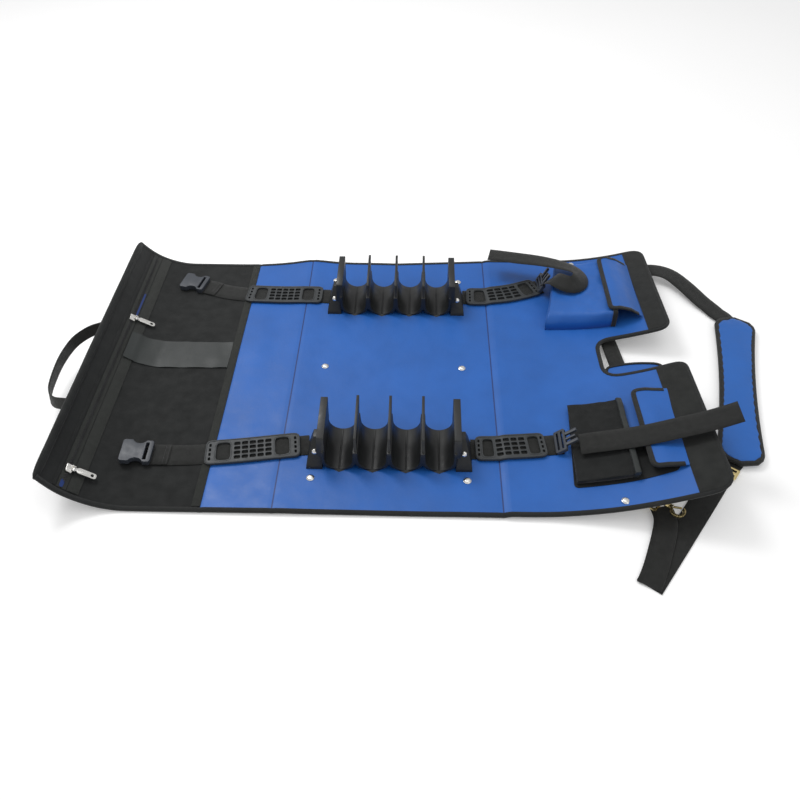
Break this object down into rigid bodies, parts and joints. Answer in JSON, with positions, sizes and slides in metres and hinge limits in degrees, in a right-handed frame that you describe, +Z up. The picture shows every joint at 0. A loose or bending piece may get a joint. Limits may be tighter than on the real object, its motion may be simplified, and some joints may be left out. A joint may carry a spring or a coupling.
{
  "type": "fold-up tool pouch",
  "caption": "Blue and black fold-up carrying bag lying open, with moulded rod channels, buckle straps, pockets, zip panel and padded shoulder strap.",
  "frame": {"origin": "centre of the centre panel's underside", "axes": "+X across the open panels towards the notched end, +Y along the rods towards the rear holder, +Z up"},
  "size_m": [1.4428, 0.8808, 0.1298],
  "materials": {
    "blue_vinyl": "coated cloth, satin",
    "black_nylon": "coarse weave",
    "black_binding": "grosgrain tape",
    "black_webbing": "woven webbing",
    "grey_band": "smooth coated cloth",
    "grip_rubber": "moulded, satin",
    "holder_rubber": "moulded, satin",
    "buckle_plastic": "moulded, satin",
    "nickel": "polished",
    "brass_fittings": "polished, worn",
    "pad_blue": "coated cloth, padded",
    "inner_foam": "hidden board"
  },
  "bodies": {
    "centre": {"centre_cover": "blue_vinyl", "centre_stiffener": "inner_foam", "centre_backing": "black_nylon", "centre_bindings": "black_binding", "front_rod_holder": "holder_rubber", "rear_rod_holder": "holder_rubber", "holder_rivets": "nickel", "centre_snaps": "nickel", "left_strap_roots": "black_webbing", "right_strap_roots": "black_webbing", "shoulder_strap": "black_webbing", "shoulder_anchor": "black_webbing", "shoulder_pad": "pad_blue", "shoulder_pad_binding": "black_binding", "strap_slider": "brass_fittings", "hook_strap": "black_webbing", "hook_eye": "brass_fittings"},
    "strap_hook": {"snap_hook": "brass_fittings"},
    "hook_gate": {"hook_gate": "brass_fittings"},
    "side_wall": {"side_cover": "blue_vinyl", "side_backing": "black_nylon", "side_bindings": "black_binding", "front_side_grip": "grip_rubber", "rear_side_grip": "grip_rubber"},
    "pocket_panel": {"pocket_cover": "black_nylon", "pocket_lining": "blue_vinyl", "pocket_backing": "black_nylon", "pocket_bindings": "black_binding", "pocket_end_roll": "black_binding", "zip_tape": "grey_band", "zip_teeth": "black_binding", "pocket_band": "grey_band", "seam_tape": "grey_band", "front_left_strap": "black_webbing", "rear_left_strap": "black_webbing", "front_left_buckle": "buckle_plastic", "rear_left_buckle": "buckle_plastic", "carry_handle_anchors": "black_webbing"},
    "front_slider": {"front_zip_slider": "nickel"},
    "rear_slider": {"rear_zip_slider": "nickel"},
    "front_pull": {"front_zip_pull": "nickel"},
    "rear_pull": {"rear_zip_pull": "nickel"},
    "carry_handle": {"carry_handle": "black_webbing"},
    "right_panel": {"right_cover": "blue_vinyl", "right_backing": "black_nylon", "right_bindings": "black_binding", "right_end_bands": "grey_band", "notch_lip": "blue_vinyl", "right_snaps": "nickel", "grab_handle": "black_webbing", "rear_right_grip": "grip_rubber", "front_right_grip": "grip_rubber", "rear_right_buckle": "buckle_plastic", "front_right_buckle": "buckle_plastic", "rear_right_tail": "black_webbing", "rear_box_pocket": "blue_vinyl", "tool_sleeves": "black_nylon"},
    "rear_flap": {"rear_flap": "blue_vinyl"},
    "front_flap": {"front_flap": "blue_vinyl"},
    "front_tail": {"front_right_tail": "black_webbing"}
  },
  "joints": [
    {"name": "side_fold", "type": "hinge", "parent": "centre", "child": "side_wall", "pos_m": [-0.2, 0, 0.0045], "axis": [0, 1, 0], "range_deg": [0, 90]},
    {"name": "pocket_fold", "type": "hinge", "parent": "side_wall", "child": "pocket_panel", "pos_m": [-0.324, 0, 0.0045], "axis": [0, 1, 0], "range_deg": [0, 75]},
    {"name": "right_fold", "type": "hinge", "parent": "centre", "child": "right_panel", "pos_m": [0.2, 0, 0.006], "axis": [0, -1, 0], "range_deg": [0, 95]},
    {"name": "front_zip_slide", "type": "slide", "parent": "pocket_panel", "child": "front_slider", "axis": [-0.0111, 0.9995, -0.0279], "range_m": [-0.018, 0.28]},
    {"name": "rear_zip_slide", "type": "slide", "parent": "pocket_panel", "child": "rear_slider", "axis": [-0.0083, 0.9997, -0.0245], "range_m": [-0.022, 0.205]},
    {"name": "front_pull_lift", "type": "hinge", "parent": "front_slider", "child": "front_pull", "pos_m": [-0.54405, -0.318, 0.04839], "axis": [0, -1, 0], "range_deg": [0, 110]},
    {"name": "rear_pull_lift", "type": "hinge", "parent": "rear_slider", "child": "rear_pull", "pos_m": [-0.54866, 0.1, 0.03814], "axis": [0, -1, 0], "range_deg": [0, 110]},
    {"name": "carry_handle_swing", "type": "hinge", "parent": "pocket_panel", "child": "carry_handle", "pos_m": [-0.592, -0.064, 0.057], "axis": [0.0094, 0.9999, -0.0094], "range_deg": [-25, 0]},
    {"name": "rear_flap_lift", "type": "hinge", "parent": "right_panel", "child": "rear_flap", "pos_m": [0.527, 0.214, 0.04506], "axis": [0, 0.9986, -0.0524], "range_deg": [0, 110]},
    {"name": "front_flap_lift", "type": "hinge", "parent": "right_panel", "child": "front_flap", "pos_m": [0.517, -0.204, 0.06642], "axis": [0, 0.9977, -0.0673], "range_deg": [0, 100]},
    {"name": "front_tail_lift", "type": "hinge", "parent": "right_panel", "child": "front_tail", "pos_m": [0.344, -0.23, 0.03517], "axis": [0, -1, 0], "range_deg": [0, 50]},
    {"name": "hook_swivel", "type": "hinge", "parent": "centre", "child": "strap_hook", "pos_m": [0.478, -0.35, 0.022], "axis": [0.7071, -0.7071, 0], "continuous": true},
    {"name": "gate_swing", "type": "hinge", "parent": "strap_hook", "child": "hook_gate", "pos_m": [0.48846, -0.35594, 0.022], "axis": [0, 0, -1], "range_deg": [0, 25], "stiffness_Nm_per_rad": 0.0006}
  ],
  "couplings": [
    {"joint": "front_tail_lift", "follows": "front_flap_lift", "ratio": 0.5}
  ]
}
